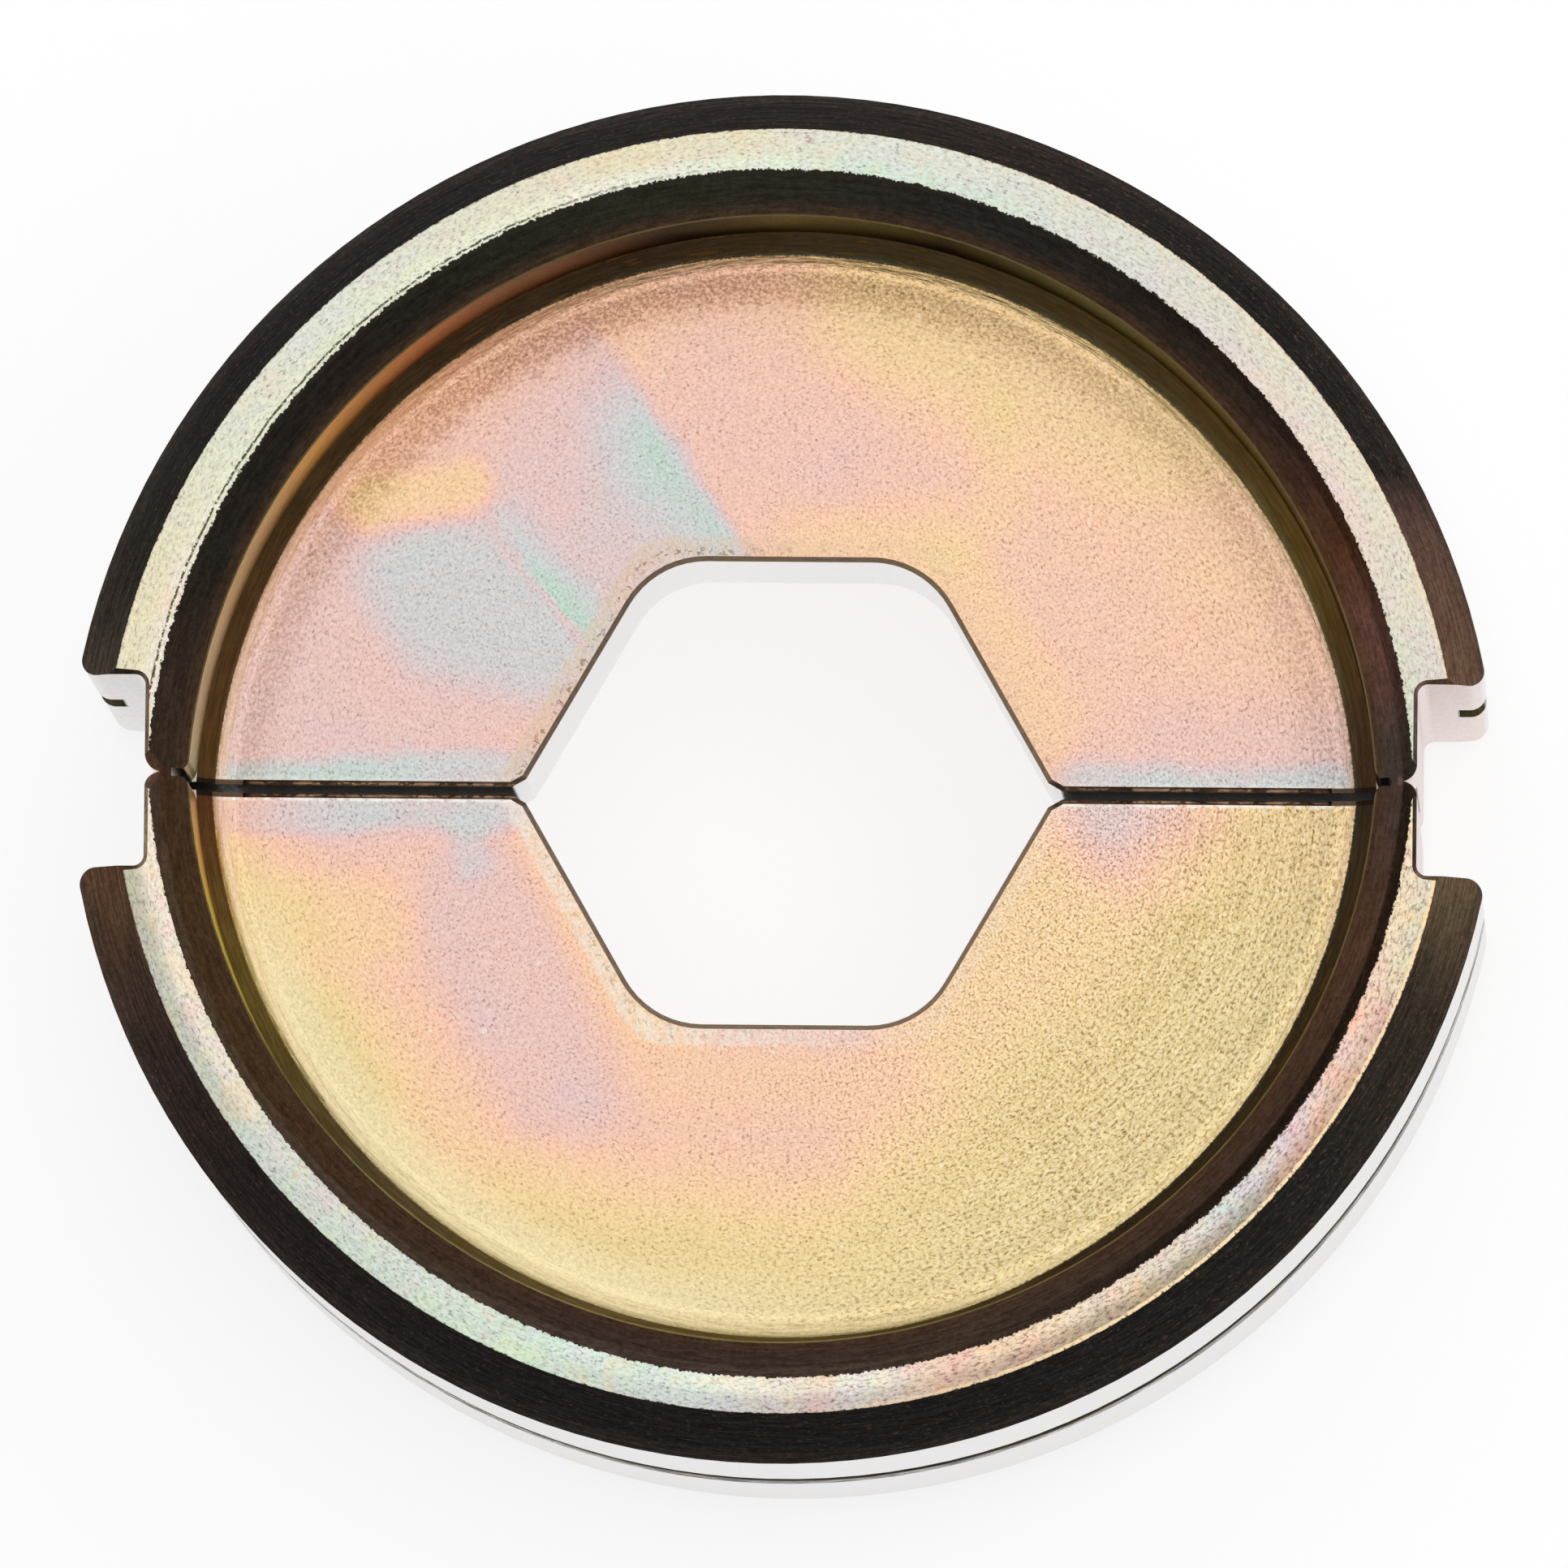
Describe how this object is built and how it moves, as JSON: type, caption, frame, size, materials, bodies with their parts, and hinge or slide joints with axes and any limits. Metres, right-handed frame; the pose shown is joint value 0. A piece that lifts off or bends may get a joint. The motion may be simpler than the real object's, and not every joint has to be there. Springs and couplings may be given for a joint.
{
  "type": "crimping die",
  "caption": "Round crimping die in two slotted halves that close on a hexagonal nest, for a hydraulic crimping tool.",
  "frame": {"origin": "mid-nest on the connector's axis, at the rear faces of the rims, where the closed pair lies", "axes": "+Z along the connector's axis to the front, +Y from the parting plane into the upper half, +X along the parting plane"},
  "size_m": [0.052, 0.0508, 0.025],
  "materials": {
    "upper_half_steel": "yellow-chromated zinc on tool steel, fine blasted grain with a pink and green sheen",
    "lower_half_steel": "yellow-chromated zinc on tool steel, fine blasted grain with a yellow and pink sheen"
  },
  "bodies": {
    "root": {"upper_die_half": "upper_half_steel", "lower_die_half": "lower_half_steel"}
  },
  "joints": []
}
